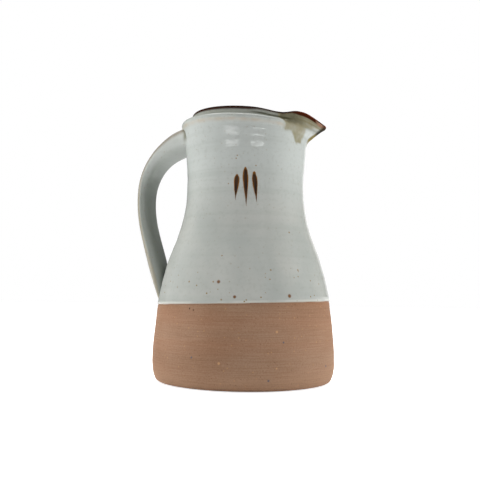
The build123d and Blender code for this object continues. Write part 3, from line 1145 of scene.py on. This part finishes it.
# %% Soft lamps
MIDDLE_OF_JUG = (0, 0, 0.1)
SIDE_LAMPS = [("left_side", (-1.22, -0.19, 0.45), 17), ("right_side", (1.22, 0.19, 0.45), 19.5)]
SIDE_WIDTH, SIDE_HEIGHT = 1.0, 1.8
OVERHEAD_PLACE, OVERHEAD_SIZE, OVERHEAD_WATTS = (-0.2, 0.1, 1.4), 1.2, 15


def lamp(name, place, target, width, height, watts):
    """A soft rectangular light that faces a target."""
    bpy.ops.object.light_add(type="AREA", location=place)
    light = bpy.context.object
    light.name = name
    light.data.shape = "RECTANGLE"
    light.data.size = width
    light.data.size_y = height
    light.data.energy = watts
    light.rotation_euler = (Vector(target) - Vector(place)).to_track_quat("-Z", "Y").to_euler()
    return light


for name, place, watts in SIDE_LAMPS:
    side_lamp = lamp(name, place, MIDDLE_OF_JUG, SIDE_WIDTH, SIDE_HEIGHT, watts)
    side_lamp.visible_glossy = False
lamp("overhead", OVERHEAD_PLACE, MIDDLE_OF_JUG, OVERHEAD_SIZE, OVERHEAD_SIZE, OVERHEAD_WATTS)
print("lamps of", [watts for name, place, watts in SIDE_LAMPS] + [OVERHEAD_WATTS], "W")

# %% [markdown]
# A gloss shows what stands round it. A large card behind the camera glows in the glaze as a bright room
# would, and two dark cards behind the jug keep its edges from going white. The camera sees none of them.

# %% Cards for the gloss to show
CARD_BLACK = (0.04, 0.04, 0.04, 1)
ROOM_PLACE, ROOM_SIZE, ROOM_GLOW = (0.3, -1.9, 1.0), 3.4, 2.0
FLAGS = [("left_flag", (-0.75, 1.0, 0.4), 37), ("right_flag", (0.95, 0.85, 0.4), -46)]
FLAG_WIDTH, FLAG_HEIGHT = 1.2, 1.6


def card(name, place, turn, width, height, glow):
    """An upright card that the camera doesn't see: dark, with this glow in a gloss."""
    upright = (math.radians(90), 0, math.radians(turn))
    bpy.ops.mesh.primitive_plane_add(size=1, location=place, rotation=upright)
    board = bpy.context.object
    board.name = name
    board.scale = (width, height, 1)
    board.visible_camera = False
    material, tree, surface = new_finish(name)
    gloss_only = tree.nodes.new("ShaderNodeLightPath").outputs["Is Glossy Ray"]
    set_glow(surface, CARD_BLACK, math_of("MULTIPLY", gloss_only, glow))
    board.data.materials.append(material)
    return board


card("room", ROOM_PLACE, 0, ROOM_SIZE, ROOM_SIZE, ROOM_GLOW)
for name, place, turn in FLAGS:
    flag = card(name, place, turn, FLAG_WIDTH, FLAG_HEIGHT, 0)
    flag.visible_diffuse = False
    flag.visible_shadow = False
print("a room card and", len(FLAGS), "flags")

# %% [markdown]
# The neck of the jug shows two windows, each with two rows of panes. Every row is a low, wide lamp that
# lights only a gloss. The neck curves inward below the rim, so a small step in a lamp's height moves its
# image far.

# %% Window panes
WINDOW_DISTANCE = 1.5
WINDOW_TURNS = (-16.5, 30)
PANE_ROWS = (0.117, 0.158)
PANE_WIDTH, PANE_HEIGHT, PANE_WATTS = 0.63, 0.03, 0.45
for turn in WINDOW_TURNS:
    across = WINDOW_DISTANCE * math.sin(math.radians(turn))
    away = -WINDOW_DISTANCE * math.cos(math.radians(turn))
    for height in PANE_ROWS:
        place = (across, away, height)
        pane = lamp("window_pane", place, (0, 0, height), PANE_WIDTH, PANE_HEIGHT, PANE_WATTS)
        pane.visible_diffuse = False
print("panes", len(WINDOW_TURNS) * len(PANE_ROWS))

# %% [markdown]
# The camera stands where the photograph's stood, as far as the outline tells: low, half a metre away, a
# little to the spout's side and looking slightly up. The Standard view leaves colours as they are written.

# %% Camera
LENS, SENSOR = 49.5, 36
CAMERA_PLACE = (0.0758, -0.5016, 0.0656)
CAMERA_TURN, CAMERA_RISE, CAMERA_ROLL = math.radians(9), math.radians(94.591), math.radians(0.76)
bpy.ops.object.camera_add()
camera = bpy.context.object
camera.data.lens = LENS
camera.data.sensor_width = SENSOR
camera.location = CAMERA_PLACE
camera.rotation_mode = "QUATERNION"
facing = Matrix.Rotation(CAMERA_TURN, 3, "Z") @ Matrix.Rotation(CAMERA_RISE, 3, "X")
camera.rotation_quaternion = (facing @ Matrix.Rotation(CAMERA_ROLL, 3, "Z")).to_quaternion()
bpy.context.scene.camera = camera
bpy.context.scene.view_settings.view_transform = "Standard"
print("camera", round((Vector(CAMERA_PLACE) - Vector(MIDDLE_OF_JUG)).length, 3), "m from the jug")
